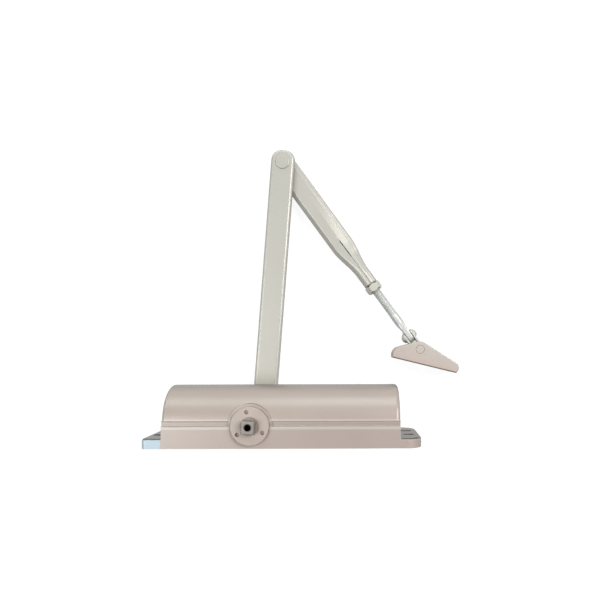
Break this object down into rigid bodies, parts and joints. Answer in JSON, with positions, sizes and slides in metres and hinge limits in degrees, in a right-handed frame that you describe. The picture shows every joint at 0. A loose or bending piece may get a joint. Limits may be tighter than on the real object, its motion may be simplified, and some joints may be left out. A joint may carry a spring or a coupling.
{
  "type": "door closer",
  "caption": "Overhead hydraulic door closer with a rack-and-pinion body, a flat main arm, an adjustable forearm and a fixing shoe.",
  "frame": {"origin": "centre of the four fixing slots, on the mounting face", "axes": "+X along the body, towards its spring end; +Y away from the mounting face; +Z along the spindle, away from the arm"},
  "size_m": [0.2654, 0.2611, 0.098],
  "materials": {
    "casting_paint": "satin",
    "plug_steel": "satin",
    "spindle_steel": "machined",
    "zinc_steel": "zinc plated",
    "bearing_steel": "polished",
    "piston_iron": "turned",
    "spring_steel": "oiled",
    "seal_rubber": "matte",
    "arm_paint": "satin",
    "shoe_paint": "satin"
  },
  "bodies": {
    "casing": {"housing": "casting_paint", "left_end_plug": "plug_steel", "right_end_plug": "plug_steel", "left_plug_seal": "seal_rubber", "right_plug_seal": "seal_rubber", "upper_bearing_cup": "bearing_steel", "lower_bearing_cup": "bearing_steel", "upper_bearing_rollers": "bearing_steel", "lower_bearing_rollers": "bearing_steel", "upper_gland_cap": "plug_steel", "lower_gland_cap": "plug_steel", "upper_shaft_seal": "seal_rubber", "lower_shaft_seal": "seal_rubber", "closing_spring": "spring_steel"},
    "sweep_valve": {"sweep_valve_screw": "zinc_steel", "sweep_valve_seal": "seal_rubber"},
    "latch_valve": {"latch_valve_screw": "zinc_steel", "latch_valve_seal": "seal_rubber"},
    "piston": {"rack_piston": "piston_iron", "piston_ring": "piston_iron", "check_valve_ball": "bearing_steel", "check_valve_clip": "zinc_steel"},
    "spindle": {"pinion_spindle": "spindle_steel", "main_arm": "arm_paint", "arm_washer": "zinc_steel", "arm_screw": "zinc_steel", "elbow_rivet": "arm_paint"},
    "forearm": {"forearm_sleeve": "arm_paint", "lock_nut": "zinc_steel", "elbow_washer": "zinc_steel"},
    "rod": {"forearm_rod": "zinc_steel"},
    "link": {"shoe_link": "zinc_steel", "cross_rivet": "zinc_steel"},
    "shoe": {"shoe_bracket": "shoe_paint", "shoe_pin": "shoe_paint"}
  },
  "joints": [
    {"name": "arm_swing", "type": "hinge", "parent": "casing", "child": "spindle", "pos_m": [-0.0244, 0.018, 0], "axis": [0, 0, -1], "range_deg": [0, 170], "stiffness_Nm_per_rad": 2, "springref_deg": -85.94},
    {"name": "piston_slide", "type": "slide", "parent": "casing", "child": "piston", "axis": [1, 0, 0], "range_m": [0, 0.0241], "deforming": ["closing_spring"]},
    {"name": "elbow", "type": "hinge", "parent": "spindle", "child": "forearm", "pos_m": [-0.00604, 0.24977, -0.0463], "axis": [0, 0, 1], "range_deg": [-22, 135]},
    {"name": "rod_adjust", "type": "slide", "parent": "forearm", "child": "rod", "axis": [0.5889, -0.8082, 0], "range_m": [-0.01, 0.008]},
    {"name": "link_tilt", "type": "hinge", "parent": "rod", "child": "link", "pos_m": [0.11016, 0.09032, -0.0463], "axis": [0.8082, 0.5889, 0], "range_deg": [-5, 5]},
    {"name": "shoe_pivot", "type": "hinge", "parent": "link", "child": "shoe", "pos_m": [0.11917, 0.07795, -0.0463], "axis": [0, 0, 1], "range_deg": [-42, 138]},
    {"name": "sweep_valve_turn", "type": "hinge", "parent": "casing", "child": "sweep_valve", "pos_m": [-0.095, 0.0115, 0.0245], "axis": [1, 0, 0], "range_deg": [-180, 180]},
    {"name": "latch_valve_turn", "type": "hinge", "parent": "casing", "child": "latch_valve", "pos_m": [-0.095, 0.0115, -0.0245], "axis": [1, 0, 0], "range_deg": [-180, 180]}
  ],
  "couplings": [
    {"joint": "piston_slide", "follows": "arm_swing", "m_per_rad": 0.0081}
  ]
}
